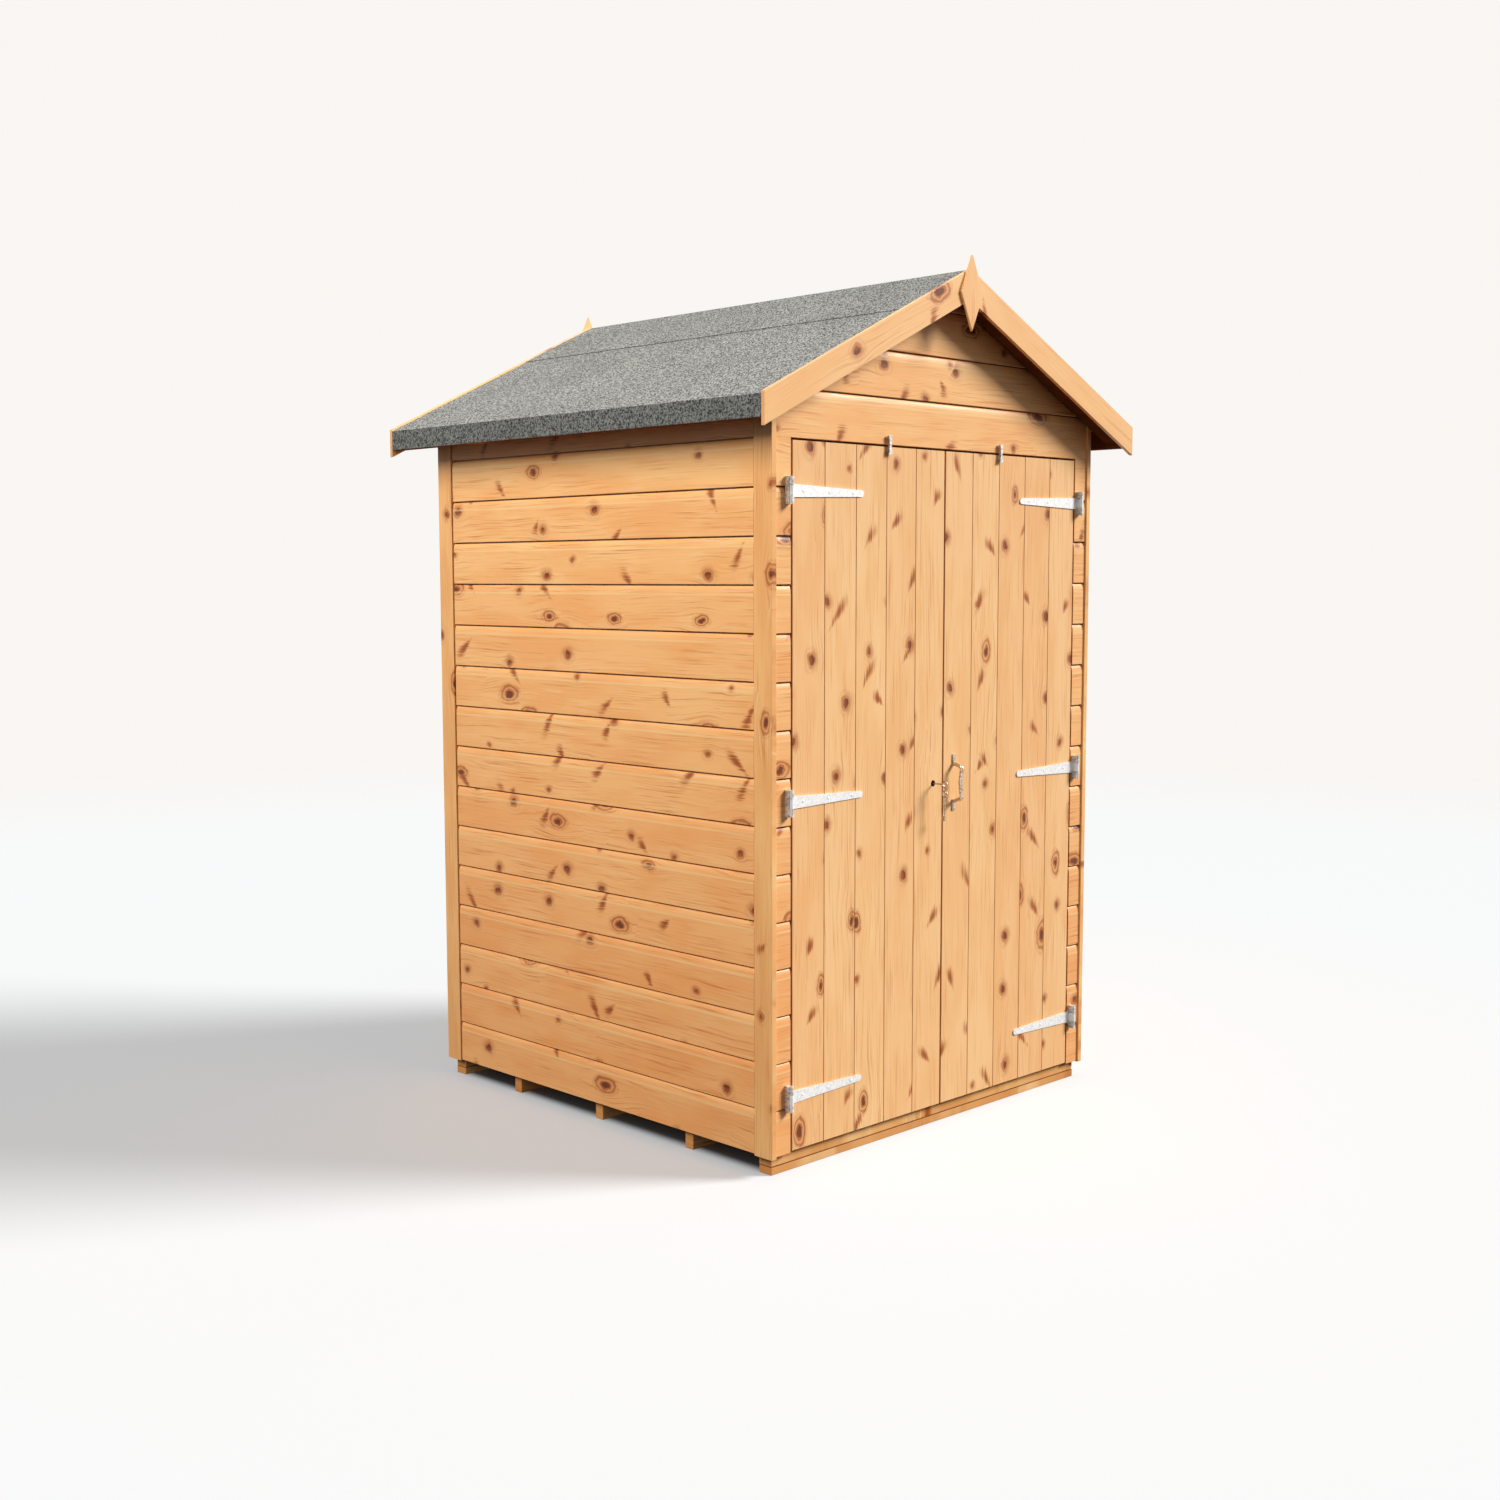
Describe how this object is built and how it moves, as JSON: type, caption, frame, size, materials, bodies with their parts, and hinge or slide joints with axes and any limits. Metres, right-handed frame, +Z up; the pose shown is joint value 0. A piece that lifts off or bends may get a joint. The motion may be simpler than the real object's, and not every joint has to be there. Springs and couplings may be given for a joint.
{
  "type": "wooden garden shed",
  "caption": "Small wooden garden shed with shiplap walls, felted apex roof, bargeboards, diamond finials and double boarded doors that swing outward on tee hinges.",
  "frame": {"origin": "centre of the plan with its roof, at the underside of the floor bearers", "axes": "+X across the front to the right as seen from the front, doors face -Y, +Z up"},
  "size_m": [1.405, 1.4496, 2.1518],
  "materials": {
    "cladding": "dipped golden pine",
    "door_boards": "dipped golden pine",
    "trim": "planed golden pine",
    "framing": "sawn pine",
    "felt": "mineral grit on bitumen",
    "galvanised": "galvanised",
    "key_steel": "plated",
    "lock": "black"
  },
  "bodies": {
    "shed": {"back_bargeboards": "trim", "back_cladding": "cladding", "back_corner_strips": "trim", "back_finial": "trim", "back_posts": "framing", "back_rafters": "framing", "back_rails": "framing", "back_stud": "framing", "door_head_rail": "framing", "door_posts": "framing", "eave_battens": "framing", "floor": "framing", "floor_bearers": "framing", "floor_packers": "framing", "front_bargeboards": "trim", "front_corner_strips": "trim", "front_finial": "trim", "front_gable_cladding": "cladding", "front_left_cladding": "cladding", "front_rafters": "framing", "front_right_cladding": "cladding", "left_cladding": "cladding", "left_felt": "felt", "left_hinge_plates": "galvanised", "left_roof_panel": "framing", "ridge_felt": "felt", "right_cladding": "cladding", "right_felt": "felt", "right_hinge_plates": "galvanised", "right_roof_panel": "framing", "side_bottom_rails": "framing", "side_studs": "framing", "side_top_rails": "framing", "verge_battens": "framing"},
    "left_door": {"door_lock": "lock", "key": "key_steel", "key_ring": "key_steel", "left_door_braces": "framing", "left_door_ledges": "framing", "left_door_panel": "door_boards", "left_hinge_straps": "galvanised", "left_turn_button": "galvanised", "spare_key": "key_steel"},
    "right_door": {"door_handle": "galvanised", "right_door_braces": "framing", "right_door_ledges": "framing", "right_door_panel": "door_boards", "right_hinge_straps": "galvanised", "right_turn_button": "galvanised"}
  },
  "joints": [
    {"name": "left_door_hinge", "type": "hinge", "parent": "shed", "child": "left_door", "pos_m": [-0.55575, -0.65815, 0.86875], "axis": [0, 0, -1], "range_deg": [0, 170]},
    {"name": "right_door_hinge", "type": "hinge", "parent": "shed", "child": "right_door", "pos_m": [0.55575, -0.65815, 0.86875], "axis": [0, 0, 1], "range_deg": [0, 170]}
  ]
}
